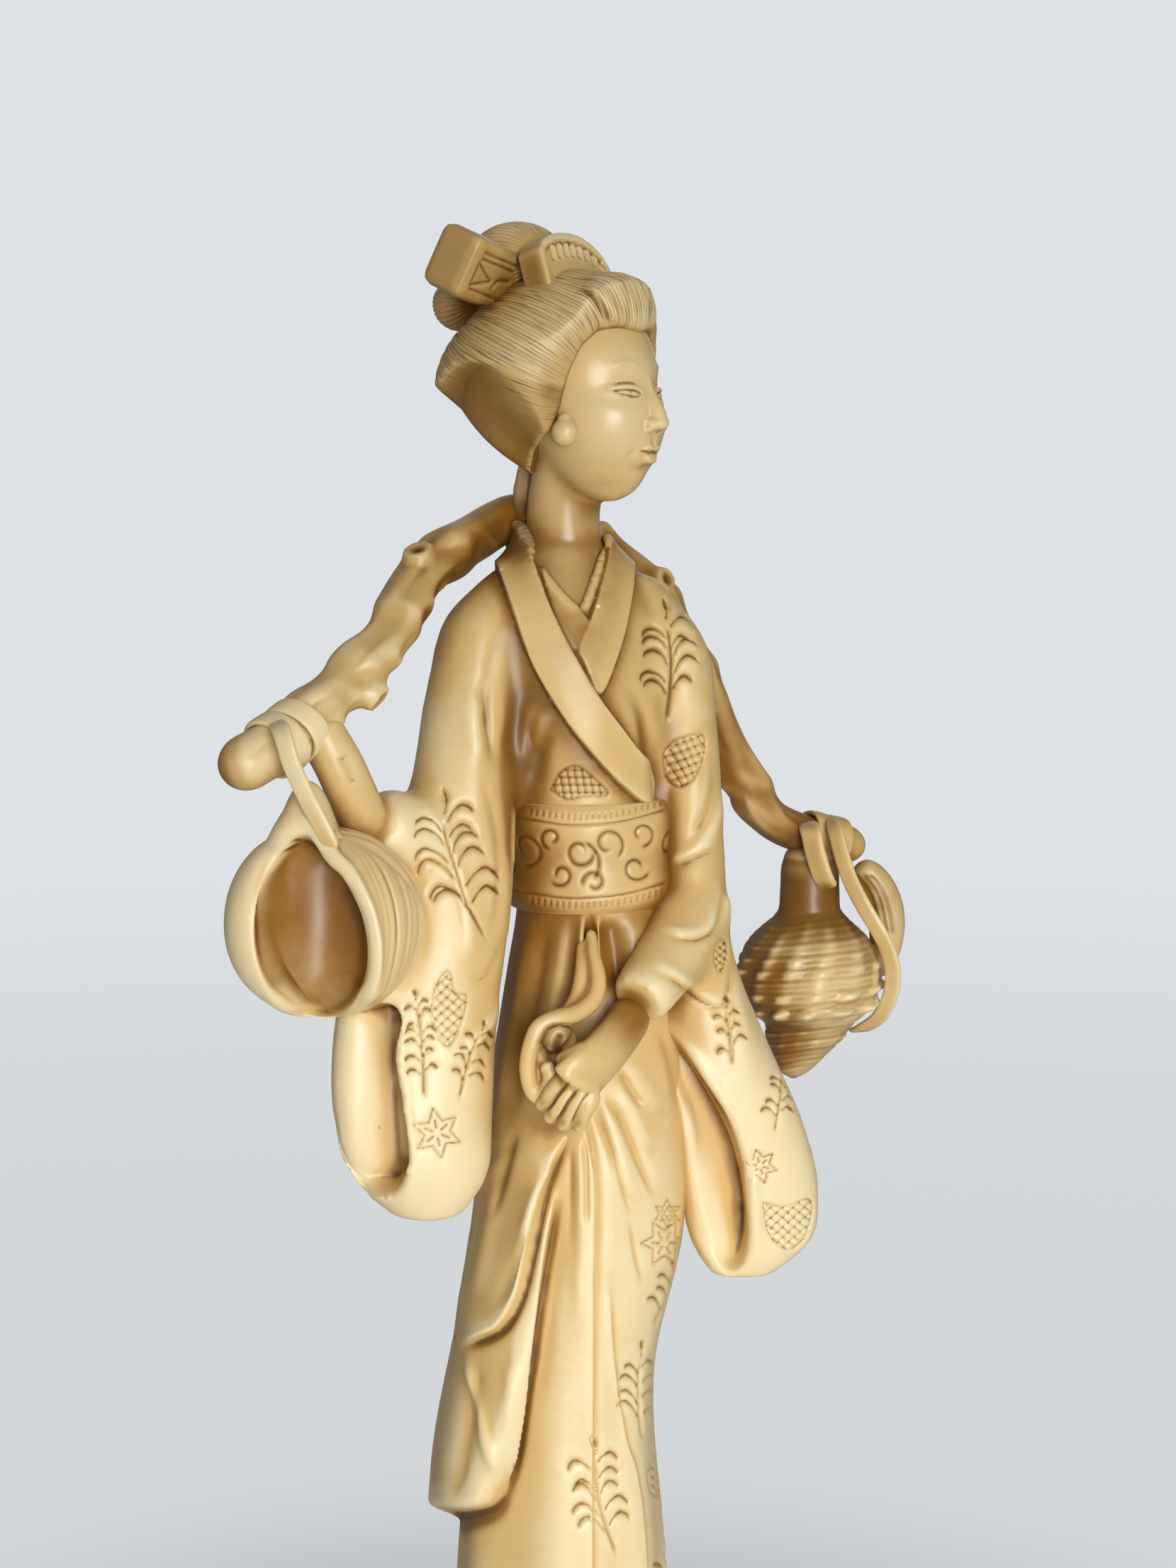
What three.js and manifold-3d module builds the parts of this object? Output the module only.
// Geisha figurine of cast resin with a branch yoke across the shoulders and a sea shell hung from each end.
// Millimetres. +Z is up, the viewer looks along +Y and +X is the viewer's right.
// The origin is the middle of the felt's underside. The figure's right side is the viewer's left.
import * as THREE from "three";
import { mergeVertices } from "three/addons/utils/BufferGeometryUtils.js";
import Module from "manifold-3d";

// Driving dimensions: foot
const GLUE_GAP = 0.3;
const FELT_THICKNESS = 1.5;
const FELT_INSET = 4;
const PLINTH_RADIUS = 47;
const PLINTH_HEIGHT = 12;
const PLINTH_ROUND = 3.5;
const SCREW_RADIUS = 2.5;
const SCREW_HEAD_RADIUS = 4.8;
const SCREW_HEAD_HEIGHT = 3;
const SCREW_LENGTH = 34;

// Driving dimensions: body
const BODY_TURN = THREE.MathUtils.degToRad(28);
const SKIRT_LENGTH = 240;
const HEM_WIDTH = 68;
const HEM_DEPTH = 60;
const CALF_WIDTH = 46;
const CALF_DEPTH = 44;
const KNEE_WIDTH = 40;
const KNEE_DEPTH = 41;
const HIP_WIDTH = 45;
const HIP_DEPTH = 41;
const WAIST_WIDTH = 32;
const WAIST_DEPTH = 27;
const SKIRT_FLUTES = 7;
const SKIRT_FLUTE_DEPTH = 1.7;
const OBI_HEIGHT = 23;
const OBI_THICKNESS = 1.4;
const OBI_KNOT_WIDTH = 25;
const OBI_KNOT_HEIGHT = 27;
const OBI_KNOT_THICKNESS = 11;
const BODICE_LENGTH = 54;
const BUST_WIDTH = 37;
const BUST_DEPTH = 31;
const SHOULDER_WIDTH = 44;
const SHOULDER_DEPTH = 27;
const OUTER_COLLAR_THICKNESS = 2.6;
const UNDER_COLLAR_THICKNESS = 2;
const INNER_COLLAR_THICKNESS = 1.5;
const INNERMOST_COLLAR_THICKNESS = 1;
const NECK_WIDTH = 15.6;
const NECK_LENGTH = 14;
const DOWEL_RADIUS = 1.5;
const DOWEL_LENGTH = 18;

// Driving dimensions: head and hair
const HEAD_TURN = THREE.MathUtils.degToRad(56);
const HEAD_HEIGHT = 48;
const HEAD_WIDTH = 31;
const HEAD_DEPTH = 37;
const HAIR_WIDTH = 50;
const HAIR_DEPTH = 60;
const HAIR_LOFT = 4;
const HAIR_LOCKS = 40;
const HAIR_LOCK_DEPTH = 0.7;
const BUN_WIDTH = 18;
const BUN_HEIGHT = 18;
const COMB_WIDTH = 24;
const COMB_HEIGHT = 8;
const COMB_THICKNESS = 4.6;
const COMB_SLOTS = 6;
const COMB_SLOT_DEPTH = 0.9;
const HAIR_BAR_LENGTH = 40;
const HAIR_BAR_HEIGHT = 12.5;
const HAIR_BAR_THICKNESS = 10.5;
const HAIR_BAR_CHAMFER = 1.6;
const EARRING_RADIUS = 2.8;

// Driving dimensions: sleeves and hands
const RIGHT_SLEEVE_DROP = 132;
const RIGHT_SLEEVE_WIDTH = 33;
const RIGHT_SLEEVE_DEPTH = 24;
const LEFT_SLEEVE_DROP = 150;
const LEFT_SLEEVE_WIDTH = 30;
const LEFT_SLEEVE_DEPTH = 19;
const UPPER_ARM_WIDTH = 18;
const FOREARM_SLEEVE_RADIUS = 8.5;
const SLEEVE_MOUTH_RADIUS = 4.6;
const RIGHT_MOUTH_WIDTH = 13;
const RIGHT_MOUTH_DEPTH = 9;
const WRIST_RADIUS = 4.6;
const PALM_WIDTH = 12.5;
const PALM_LENGTH = 15;
const PALM_THICKNESS = 7;
const FINGER_RADIUS = 1.35;
const FINGER_LENGTH = 12;

// Driving dimensions: skirt layers
const DRAPE_THICKNESS = 4;
const DRAPE_UNDER_THICKNESS = 2.6;
const DRAPE_FLARE = 4.6;
const FRONT_PANEL_THICKNESS = 1.5;
const GATHER_RADIUS = 5.2;
const GATHER_WALL = 1.5;
const GATHER_HEIGHT = 13;

// Driving dimensions: yoke, straps and shells
const YOKE_RADIUS = 5.2;
const YOKE_RIGHT_REACH = 66;
const YOKE_RIGHT_FALL = 49;
const YOKE_LEFT_REACH = 71;
const YOKE_LEFT_FALL = 75;
const YOKE_KNOT_RISE = 1.1;
const STRAP_WIDTH = 5.2;
const STRAP_THICKNESS = 1.4;
const RIGHT_SHELL_WIDTH = 38;
const RIGHT_SHELL_HEIGHT = 44;
const RIGHT_SHELL_DEPTH = 34;
const RIGHT_SHELL_LIP = 3.4;
const RIGHT_SHELL_MOUTH_DEPTH = 11;
const LEFT_SHELL_LENGTH = 47;
const LEFT_SHELL_WIDTH = 35;
const LEFT_SHELL_TURNS = 4;
const STRAP_DROP = 11;

// Landmark heights
const plinthZ = FELT_THICKNESS + GLUE_GAP;
const hemZ = plinthZ + PLINTH_HEIGHT + GLUE_GAP;
const waistZ = hemZ + SKIRT_LENGTH;
const chestZ = waistZ + OBI_HEIGHT;
const collarZ = chestZ + BODICE_LENGTH;
const waistSeamZ = waistZ + OBI_HEIGHT / 2;
const neckTopZ = collarZ + NECK_LENGTH;
const waistX = HIP_WIDTH * 0.147;

const wasm = await Module();
wasm.setup();

const point = (x, y, z) => new THREE.Vector3(x, y, z);

// Solids and booleans
function solidOf(geometry) {
  const bare = new THREE.BufferGeometry().setAttribute("position", geometry.getAttribute("position"));
  if (geometry.index) bare.setIndex(geometry.index);
  const merged = mergeVertices(bare, 1e-4);
  return new wasm.Manifold(
    new wasm.Mesh({
      numProp: 3,
      vertProperties: new Float32Array(merged.attributes.position.array),
      triVerts: new Uint32Array(merged.index.array),
    }),
  );
}

function geometryOf(solid) {
  const mesh = solid.getMesh();
  return new THREE.BufferGeometry()
    .setAttribute("position", new THREE.BufferAttribute(new Float32Array(mesh.vertProperties), 3))
    .setIndex(new THREE.BufferAttribute(new Uint32Array(mesh.triVerts), 1));
}

// The geometry pushed out along its vertex normals, as the room that a neighbour has to keep clear.
function grown(geometry, amount) {
  const bare = new THREE.BufferGeometry().setAttribute("position", geometry.getAttribute("position"));
  if (geometry.index) bare.setIndex(geometry.index);
  const merged = mergeVertices(bare, 1e-4);
  merged.computeVertexNormals();
  const place = merged.attributes.position;
  const normal = merged.attributes.normal;
  for (let i = 0; i < place.count; i++)
    place.setXYZ(
      i,
      place.getX(i) + normal.getX(i) * amount,
      place.getY(i) + normal.getY(i) * amount,
      place.getZ(i) + normal.getZ(i) * amount,
    );
  merged.deleteAttribute("normal");
  return merged;
}

const joined = (...geometries) =>
  geometryOf(geometries.map(solidOf).reduce((whole, next) => whole.add(next)));

const without = (geometry, ...cutters) =>
  geometryOf(cutters.map(solidOf).reduce((rest, next) => rest.subtract(next), solidOf(geometry)));

const clearance = 1.5 * GLUE_GAP;
const clearOf = (geometry, ...neighbours) =>
  mainBody(without(geometry, ...neighbours.map((n) => grown(n, clearance))));

// The largest body of a cut piece: the slivers that a cut leaves behind are waste.
function mainBody(geometry) {
  const bodies = solidOf(geometry).decompose();
  return geometryOf(bodies.reduce((a, b) => (a.volume() > b.volume() ? a : b)));
}

// Lofts: rings of points joined from the first to the last, closed by a fan at both ends.
function loft(rings) {
  const sides = rings[0].length;
  const positions = rings.flat().flatMap((p) => p.toArray());
  const index = [];
  for (let row = 0; row + 1 < rings.length; row++)
    for (let i = 0; i < sides; i++) {
      const a = row * sides + i;
      const b = row * sides + ((i + 1) % sides);
      index.push(a, b, b + sides, a, b + sides, a + sides);
    }
  const close = (ring, first, up) => {
    const middle = ring.reduce((sum, p) => sum.add(p), point(0, 0, 0)).divideScalar(sides);
    const centre = positions.push(...middle.toArray()) / 3 - 1;
    for (let i = 0; i < sides; i++) {
      const a = first + i;
      const b = first + ((i + 1) % sides);
      index.push(centre, ...(up ? [a, b] : [b, a]));
    }
  };
  close(rings[0], 0, false);
  close(rings.at(-1), sides * (rings.length - 1), true);
  return new THREE.BufferGeometry()
    .setAttribute("position", new THREE.Float32BufferAttribute(positions, 3))
    .setIndex(index);
}

// Level oval rings through stations { z, x, y, width, depth }, smoothed into rows, turned about Z.
// shape(angle, share) scales a ring's radius.
function ovalLoft(stations, { sides, rows, turn = 0, shape = () => 1 }) {
  const place = new THREE.CatmullRomCurve3(
    stations.map((s) => point(s.x, s.y, s.z)), false, "catmullrom", 0.5);
  const size = new THREE.CatmullRomCurve3(
    stations.map((s) => point(s.width, s.depth, s.z)), false, "catmullrom", 0.5);
  const rings = [];
  for (let row = 0; row <= rows; row++) {
    const share = row / rows;
    const centre = place.getPoint(share);
    const oval = size.getPoint(share);
    const ring = [];
    for (let i = 0; i < sides; i++) {
      const angle = (i / sides) * 2 * Math.PI;
      const scale = shape(angle, share) / 2;
      ring.push(
        point(Math.cos(angle) * oval.x * scale, Math.sin(angle) * oval.y * scale, 0)
          .applyAxisAngle(point(0, 0, 1), turn)
          .add(centre),
      );
    }
    rings.push(ring);
  }
  return loft(rings);
}

// A round bar along a smooth curve. radius(share) is its radius, and both ends are rounded off.
function bar(points, radius, { sides, steps }) {
  const curve = new THREE.CatmullRomCurve3(points);
  const frames = curve.computeFrenetFrames(steps, false);
  const END_ROUND = [[0.45, 0.9], [0.8, 0.55]];
  const ringAt = (step, slide, shrink) => {
    const share = step / steps;
    const centre = curve.getPoint(share).addScaledVector(frames.tangents[step], slide);
    const size = radius(share) * shrink;
    return Array.from({ length: sides }, (_, i) => {
      const angle = (i / sides) * 2 * Math.PI;
      return centre.clone()
        .addScaledVector(frames.normals[step], Math.cos(angle) * size)
        .addScaledVector(frames.binormals[step], Math.sin(angle) * size);
    });
  };
  const rings = Array.from({ length: steps + 1 }, (_, step) => ringAt(step, 0, 1));
  for (const [slide, shrink] of END_ROUND) {
    rings.unshift(ringAt(0, -slide * radius(0), shrink));
    rings.push(ringAt(steps, slide * radius(1), shrink));
  }
  return loft(rings);
}

// A rounded body that every ray from its middle leaves once: the farthest of some ellipsoid lobes,
// { x, y, z, rx, ry, rz }, held inside limit(direction).
function lobeReach(d, lobe) {
  const dir = point(d.x / lobe.rx, d.y / lobe.ry, d.z / lobe.rz);
  const from = point(-lobe.x / lobe.rx, -lobe.y / lobe.ry, -lobe.z / lobe.rz);
  const a = dir.lengthSq();
  const b = dir.dot(from);
  const inside = b * b - a * (from.lengthSq() - 1);
  return inside < 0 ? 0 : (-b + Math.sqrt(inside)) / a;
}

function starBody(lobes, { wide, high, limit = () => Infinity }) {
  const body = new THREE.SphereGeometry(1, wide, high).rotateX(Math.PI / 2);
  const place = body.attributes.position;
  for (let i = 0; i < place.count; i++) {
    const d = new THREE.Vector3().fromBufferAttribute(place, i).normalize();
    const far = Math.min(limit(d), Math.max(...lobes.map((lobe) => lobeReach(d, lobe))));
    place.setXYZ(i, d.x * far, d.y * far, d.z * far);
  }
  return body;
}

// A star body like the one above, combed from its crown: locks of hair run out from the axis.
function combedBody(lobes, axis, { locks, rows, depth, limit }) {
  const crown = axis.clone().normalize();
  const side = crown.clone().cross(point(1, 0, 0)).normalize();
  const third = crown.clone().cross(side);
  const rings = [];
  for (let row = 0; row <= rows; row++) {
    const fall = Math.PI * (1 - (row + 0.4) / (rows + 0.8));
    const ring = [];
    for (let i = 0; i < 2 * locks; i++) {
      const angle = (i / locks) * Math.PI;
      const way = crown.clone().multiplyScalar(Math.cos(fall))
        .addScaledVector(side, Math.sin(fall) * Math.cos(angle))
        .addScaledVector(third, Math.sin(fall) * Math.sin(angle));
      const full = Math.max(...lobes.map((lobe) => lobeReach(way, lobe)));
      const held = limit(way);
      const groove = i % 2 === 1 && full < held ? depth * THREE.MathUtils.smoothstep(fall, 0.2, 0.6) : 0;
      ring.push(way.multiplyScalar(Math.min(held, full - groove)));
    }
    rings.push(ring);
  }
  return loft(rings);
}

// A prism of an outline in the XZ plane, reaching from the body's middle towards the viewer.
const FRONT_REACH = 60;
function frontPrism(outline) {
  const shape = new THREE.Shape(outline.map(([x, z]) => new THREE.Vector2(x, z)));
  return new THREE.ExtrudeGeometry(shape, { depth: FRONT_REACH, bevelEnabled: false }).rotateX(Math.PI / 2);
}

// A layer that lies on a body's front inside an outline.
function frontLayer(outline, body, thickness) {
  const layer = solidOf(frontPrism(outline))
    .intersect(solidOf(grown(body, thickness)))
    .subtract(solidOf(grown(body, clearance)));
  return mainBody(geometryOf(layer));
}

const moved = (geometry, x, y, z) => geometry.clone().translate(x, y, z);

// Plinth, felt and screw
const lathe = (profile, segments) =>
  new THREE.LatheGeometry(profile.map(([r, z]) => new THREE.Vector2(r, z)), segments).rotateX(Math.PI / 2);

const roundEdge = (radius, z, round, steps = 3) =>
  Array.from({ length: steps + 1 }, (_, i) => {
    const angle = (i / steps) * (Math.PI / 2);
    return [radius - round + round * Math.cos(angle), z - round + round * Math.sin(angle)];
  });

const screwRoom = (grow) =>
  lathe(
    [
      [0, plinthZ - grow],
      [SCREW_HEAD_RADIUS + grow, plinthZ - grow],
      [SCREW_RADIUS + grow, plinthZ + SCREW_HEAD_HEIGHT],
      [SCREW_RADIUS + grow, plinthZ + SCREW_LENGTH - SCREW_RADIUS],
      [0, plinthZ + SCREW_LENGTH + grow],
    ],
    16,
  );

const feltRadius = PLINTH_RADIUS - FELT_INSET;
const felt = lathe([[0, 0], [feltRadius, 0], [feltRadius, FELT_THICKNESS], [0, FELT_THICKNESS]], 32);
const plinthTop = plinthZ + PLINTH_HEIGHT;
const plinth = without(
  lathe(
    [[0, plinthZ], [PLINTH_RADIUS - 1, plinthZ], [PLINTH_RADIUS, plinthZ + 1],
      ...roundEdge(PLINTH_RADIUS, plinthTop, PLINTH_ROUND), [0, plinthTop]],
    32,
  ),
  screwRoom(GLUE_GAP),
);
const screw = screwRoom(0);

// Skirt and bodice: the body under the clothes' layers
const skirtStation = (share, across, along, width, depth) =>
  ({ z: hemZ + share * SKIRT_LENGTH, x: across * HIP_WIDTH, y: along * HIP_DEPTH, width, depth });
const skirtFlute = (2 * SKIRT_FLUTE_DEPTH) / CALF_WIDTH;
// The flutes die out above the knee in front and at the waist behind.
const FLUTE_FADE_FRONT = 1.9;
const FLUTE_FADE_BACK = 1.05;
const fluteFade = (angle) => {
  const behind = THREE.MathUtils.smoothstep(Math.sin(angle), -0.1, 0.6);
  return THREE.MathUtils.lerp(FLUTE_FADE_FRONT, FLUTE_FADE_BACK, behind);
};
const skirtBody = ovalLoft(
  [
    skirtStation(0, 0.022, 0.024, HEM_WIDTH, HEM_DEPTH),
    skirtStation(0.1, 0.022, 0.012, HEM_WIDTH * 0.87, HEM_DEPTH * 0.87),
    skirtStation(0.25, 0.011, 0, CALF_WIDTH * 1.08, CALF_DEPTH * 1.08),
    skirtStation(0.4, 0.004, 0, CALF_WIDTH * 0.98, CALF_DEPTH),
    skirtStation(0.58, 0.013, 0, KNEE_WIDTH, KNEE_DEPTH),
    skirtStation(0.7, 0.089, 0, HIP_WIDTH, HIP_DEPTH),
    skirtStation(0.84, 0.133, 0, HIP_WIDTH * 0.94, HIP_DEPTH * 0.96),
    skirtStation(0.94, 0.144, 0, WAIST_WIDTH * 1.12, WAIST_DEPTH * 1.2),
    skirtStation(1, 0.151, 0, WAIST_WIDTH, WAIST_DEPTH),
    { z: waistSeamZ, x: waistX, y: 0, width: WAIST_WIDTH, depth: WAIST_DEPTH },
  ],
  {
    sides: 28,
    rows: 11,
    shape: (angle, share) =>
      1 + skirtFlute * Math.sin(SKIRT_FLUTES * angle) * Math.max(0, 1 - fluteFade(angle) * share),
  },
);

const bodiceStation = (share, across, along, width, depth) => ({
  z: chestZ + share * BODICE_LENGTH, x: across * SHOULDER_WIDTH, y: along * SHOULDER_DEPTH, width, depth,
});
const bodiceBody = ovalLoft(
  [
    { z: waistSeamZ + GLUE_GAP, x: waistX, y: 0, width: WAIST_WIDTH, depth: WAIST_DEPTH },
    bodiceStation(0, 0.136, 0, WAIST_WIDTH * 1.05, WAIST_DEPTH * 1.04),
    bodiceStation(0.3, 0.114, -0.019, BUST_WIDTH, BUST_DEPTH),
    bodiceStation(0.55, 0.082, 0.019, SHOULDER_WIDTH * 0.95, BUST_DEPTH * 0.97),
    bodiceStation(0.74, 0.057, 0.074, SHOULDER_WIDTH, SHOULDER_DEPTH),
    bodiceStation(0.9, 0.032, 0.126, SHOULDER_WIDTH * 0.68, SHOULDER_DEPTH * 0.84),
    bodiceStation(1, 0.018, 0.156, NECK_WIDTH * 1.2, NECK_WIDTH * 1.16),
  ],
  { sides: 20, rows: 8, turn: BODY_TURN },
);

// Yoke: two limbs of one branch, pinned together behind the neck
const yokeTop = point(0, SHOULDER_DEPTH * 0.63, collarZ + YOKE_RADIUS * 0.67);
const yokeLimb = (side, reach, fall, route, knots) => {
  const points = route.map(([out, depth, down]) =>
    yokeTop.clone().add(point(side * (GLUE_GAP + out * reach), depth * reach, -down * fall)));
  const radius = (share) =>
    YOKE_RADIUS * (1 - 0.2 * Math.sin(Math.PI * share) + 0.14 * share ** 4) +
    knots.reduce((rise, k) => rise + YOKE_KNOT_RISE * Math.exp(-(((share - k) / 0.035) ** 2)), 0);
  return { points, radius, geometry: bar(points, radius, { sides: 8, steps: 18 }) };
};
// Each row is shares of the limb's reach, outward and in depth, and of its fall.
const rightLimb = yokeLimb(-1, YOKE_RIGHT_REACH, YOKE_RIGHT_FALL,
  [[0.08, 0, 0], [0.17, -0.061, -0.03], [0.29, -0.227, 0.07], [0.42, -0.379, 0.2], [0.5, -0.53, 0.42],
    [0.59, -0.652, 0.58], [0.7, -0.758, 0.73], [0.81, -0.864, 0.86], [0.93, -0.955, 0.95]],
  [0.3, 0.47, 0.63, 0.8]);
const leftLimb = yokeLimb(1, YOKE_LEFT_REACH, YOKE_LEFT_FALL,
  [[0.06, 0, 0.02], [0.13, 0, 0.08], [0.26, 0.028, 0.18], [0.37, 0.085, 0.34], [0.45, 0.141, 0.51],
    [0.54, 0.225, 0.7], [0.65, 0.31, 0.87], [0.77, 0.366, 0.94], [0.93, 0.408, 0.98]],
  [0.3, 0.46, 0.74]);
const pinAxis = leftLimb.points[0].clone().sub(rightLimb.points[0]).normalize();
const pegBar = (from, along, length, grow) =>
  bar([0, 1].map((s) => from.clone().addScaledVector(along, (s - 0.5) * length)),
    () => DOWEL_RADIUS + grow, { sides: 8, steps: 1 });
const yokeMiddle = rightLimb.points[0].clone().lerp(leftLimb.points[0], 0.5);
const yokePinLength = 2 * YOKE_RADIUS + DOWEL_LENGTH / 2;
const yokePin = pegBar(yokeMiddle, pinAxis, yokePinLength, 0);
const yokeSplit = (side) => {
  const half = new THREE.BoxGeometry(4 * YOKE_RADIUS, 8 * YOKE_RADIUS, 8 * YOKE_RADIUS);
  return moved(half, yokeMiddle.x + side * (2 * YOKE_RADIUS - GLUE_GAP / 2), yokeMiddle.y, yokeMiddle.z);
};
const pinRoom = pegBar(yokeMiddle, pinAxis, yokePinLength + 2 * GLUE_GAP, GLUE_GAP);
const rightLimbBody = mainBody(without(rightLimb.geometry, yokeSplit(1), pinRoom));
const leftLimbBody = mainBody(without(leftLimb.geometry, yokeSplit(-1), pinRoom));

// Neck and head
const neckX = NECK_WIDTH * 0.05;
const neckY = NECK_WIDTH * 0.26;
const headFrame = new THREE.Matrix4().makeRotationZ(HEAD_TURN)
  .setPosition(HEAD_DEPTH * 0.124, -HEAD_DEPTH * 0.027, collarZ + NECK_LENGTH * 0.6 + HEAD_HEIGHT / 2);
const neckStation = (z, across, along, girth) =>
  ({ z, x: neckX * across, y: neckY * along, width: NECK_WIDTH * girth, depth: NECK_WIDTH * girth });
const neck = ovalLoft(
  [
    neckStation(collarZ + GLUE_GAP, 1, 1, 1),
    neckStation(collarZ + NECK_LENGTH * 0.5, 1, 0.85, 0.97),
    neckStation(neckTopZ, 2.5, 0.6, 1.04),
    neckStation(neckTopZ + NECK_WIDTH * 0.38, 4.5, 0.25, 1),
  ],
  { sides: 14, rows: 4 },
);
const SKULL_TOP = HEAD_HEIGHT * 0.42;
const SKULL_RISE = HEAD_HEIGHT * 0.37;
const skullBody = starBody(
  [
    { x: 0, y: HEAD_DEPTH * 0.04, z: SKULL_TOP - SKULL_RISE,
      rx: HEAD_WIDTH / 2, ry: HEAD_DEPTH * 0.47, rz: SKULL_RISE },
    { x: 0, y: -HEAD_DEPTH * 0.13, z: -HEAD_HEIGHT * 0.14,
      rx: HEAD_WIDTH * 0.41, ry: HEAD_DEPTH * 0.36, rz: HEAD_HEIGHT * 0.36 },
    { x: 0, y: -HEAD_DEPTH * 0.4, z: -HEAD_HEIGHT * 0.12,
      rx: HEAD_WIDTH * 0.09, ry: HEAD_DEPTH * 0.15, rz: HEAD_HEIGHT * 0.09 },
  ],
  { wide: 16, high: 12 },
).applyMatrix4(headFrame);
const neckDowelAt = point(neckX, neckY, collarZ);
const upward = point(0, 0, 1);
const neckDowel = pegBar(neckDowelAt, upward, DOWEL_LENGTH, 0);
const neckDowelRoom = pegBar(neckDowelAt, upward, DOWEL_LENGTH + 2 * GLUE_GAP, GLUE_GAP);
const headBody = joined(skullBody, neck);
const head = without(clearOf(headBody, rightLimb.geometry, leftLimb.geometry), neckDowelRoom);
const bodice = without(clearOf(bodiceBody, rightLimb.geometry, leftLimb.geometry), neckDowelRoom);
const skirt = without(skirtBody, screwRoom(GLUE_GAP));

const hairRise = SKULL_TOP + HAIR_LOFT;
// Hair: a dome of combed hair over a smooth underside that runs in to the neck
const RIM_DROP = HEAD_HEIGHT * 0.1;
const NAPE_DROP = HEAD_HEIGHT * 0.37;
const NAPE_RADIUS = NECK_WIDTH * 0.62;
const undersideSlope = (NAPE_DROP - RIM_DROP) / (HAIR_WIDTH / 2 - NAPE_RADIUS);
const undersideDepth = RIM_DROP + (undersideSlope * HAIR_WIDTH) / 2;
// The underside is steeper below the sides than below the back.
const SIDE_STEEPNESS = 1.38;
function hairLimit(d) {
  const level = Math.hypot(d.x, d.y);
  const sideways = THREE.MathUtils.smoothstep(Math.abs(d.x) / level, 0.6, 0.97);
  const slope = undersideSlope * THREE.MathUtils.lerp(1, SIDE_STEEPNESS, sideways);
  const closing = slope * level - d.z;
  return closing > 0 ? undersideDepth / closing : Infinity;
}
const CROWN_LEAN = THREE.MathUtils.degToRad(26.4);
const hairBody = combedBody(
  [
    { x: 0, y: HAIR_DEPTH * 0.06, z: 0, rx: HAIR_WIDTH * 0.42, ry: HAIR_DEPTH * 0.44, rz: hairRise },
    { x: 0, y: -HEAD_DEPTH * 0.24, z: hairRise * 0.4,
      rx: HEAD_WIDTH * 0.44, ry: HEAD_DEPTH * 0.26, rz: hairRise * 0.52 },
    ...[-1, 1].map((side) => ({ x: side * HAIR_WIDTH * 0.21, y: HAIR_DEPTH * 0.12, z: -hairRise * 0.06,
      rx: HAIR_WIDTH * 0.29, ry: HAIR_DEPTH * 0.34, rz: hairRise * 0.74 })),
  ],
  point(0, Math.sin(CROWN_LEAN), Math.cos(CROWN_LEAN)),
  { locks: HAIR_LOCKS, rows: 15, depth: HAIR_LOCK_DEPTH, limit: hairLimit },
).applyMatrix4(headFrame);
// The face stays clear of hair in front of a hairline that leans back from the brow to the ear.
const hairline = new THREE.Shape(
  [[-0.36, 0.21], [-1, 0.36], [-1, -1], [-0.14, -1], [-0.14, -0.2]]
    .map(([back, up]) => new THREE.Vector2(back * HEAD_DEPTH, up * HEAD_HEIGHT)));
const faceOpening = new THREE.ExtrudeGeometry(hairline, { depth: 2 * HAIR_WIDTH, bevelEnabled: false })
  .translate(0, 0, -HAIR_WIDTH)
  .applyMatrix4(new THREE.Matrix4().makeBasis(point(0, 1, 0), point(0, 0, 1), point(1, 0, 0)))
  .applyMatrix4(headFrame);
const hairCap = mainBody(
  without(clearOf(hairBody, skullBody, neck, rightLimb.geometry, leftLimb.geometry), faceOpening));

// Hair ornaments, in the head's own frame: bun, comb, cross bar and ear drops
const bunAt = point(0, HAIR_DEPTH * 0.27, hairRise + BUN_HEIGHT * 0.06);
const bunLobe = { x: 0, y: 0, z: 0, rx: BUN_WIDTH / 2, ry: BUN_WIDTH * 0.42, rz: BUN_HEIGHT / 2 };
const bunBody = starBody([bunLobe], { wide: 16, high: 10 })
  .translate(bunAt.x, bunAt.y, bunAt.z)
  .applyMatrix4(headFrame);
// Each row: which corner of the bar's section, and which way its chamfer runs from there
const barCorners = [
  [-1, -1, 1, 0], [-1, -1, 0, 1], [-1, 1, 0, -1], [-1, 1, 1, 0],
  [1, 1, -1, 0], [1, 1, 0, -1], [1, -1, 0, 1], [1, -1, -1, 0],
];
const barShape = new THREE.Shape(barCorners.map(([sx, sz, cx, cz]) => new THREE.Vector2(
  (sx * HAIR_BAR_THICKNESS) / 2 + cx * HAIR_BAR_CHAMFER,
  (sz * HAIR_BAR_HEIGHT) / 2 + cz * HAIR_BAR_CHAMFER)));
const hairBar = new THREE.ExtrudeGeometry(barShape, { depth: HAIR_BAR_LENGTH, bevelEnabled: false })
  .translate(0, 0, -HAIR_BAR_LENGTH / 2)
  .rotateX(Math.PI / 2)
  .rotateZ(Math.PI / 2)
  .rotateX(THREE.MathUtils.degToRad(24))
  .rotateY(THREE.MathUtils.degToRad(9))
  .translate(bunAt.x - HAIR_BAR_LENGTH * 0.12, bunAt.y, bunAt.z - HAIR_BAR_HEIGHT * 0.25)
  .applyMatrix4(headFrame);
const bun = clearOf(bunBody, hairBody, hairBar);
const barBody = clearOf(hairBar, hairBody);

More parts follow.
